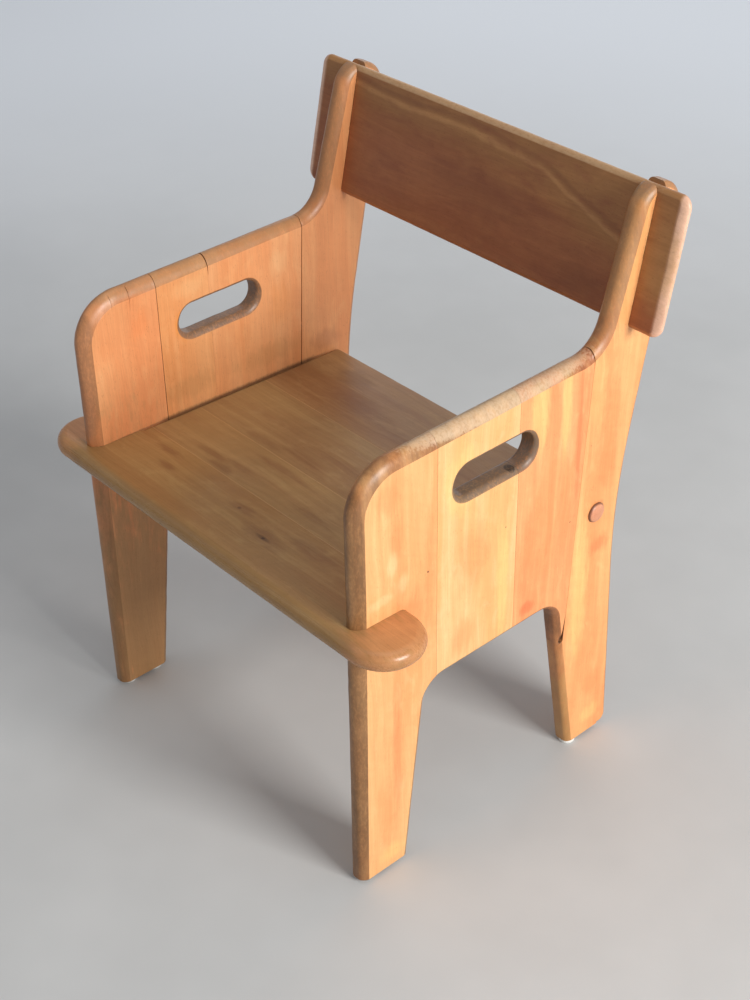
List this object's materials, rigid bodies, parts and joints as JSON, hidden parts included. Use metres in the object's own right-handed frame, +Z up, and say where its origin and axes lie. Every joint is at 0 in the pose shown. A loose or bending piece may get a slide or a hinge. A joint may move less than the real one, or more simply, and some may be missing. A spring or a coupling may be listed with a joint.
{
  "type": "toddler armchair",
  "caption": "Low wooden armchair for a toddler: plank sides with hand holes, a sloping seat with rounded ears, and a lift-off backrest slotted into the rear posts.",
  "frame": {"origin": "middle of the chair's footprint on the floor, under its bounding box", "axes": "+Z up, +Y to the rear of the chair, +X to the left of someone sitting in it"},
  "size_m": [0.397, 0.32, 0.4783],
  "materials": {
    "side_wood": "satin oiled beech, honey orange",
    "seat_wood": "satin oiled beech, amber brown",
    "back_wood": "satin oiled beech, red brown",
    "peg_wood": "satin oiled beech, darker end grain",
    "glide_plastic": "white, slightly scuffed",
    "nail_steel": "plain"
  },
  "bodies": {
    "frame": {"side_right_stave_1": "side_wood", "side_right_stave_2": "side_wood", "side_right_stave_3": "side_wood", "side_right_stave_4": "side_wood", "side_left_stave_1": "side_wood", "side_left_stave_2": "side_wood", "side_left_stave_3": "side_wood", "side_left_stave_4": "side_wood", "seat_board_front": "seat_wood", "seat_board_2": "seat_wood", "seat_board_3": "seat_wood", "seat_board_rear": "seat_wood", "peg_right": "peg_wood", "peg_left": "peg_wood", "glides": "glide_plastic", "glide_nails": "nail_steel"},
    "backrest": {"backrest": "back_wood"}
  },
  "joints": [
    {"name": "backrest_lift", "type": "slide", "parent": "frame", "child": "backrest", "axis": [0, 0.2122, 0.9772], "range_m": [0, 0.115]}
  ]
}
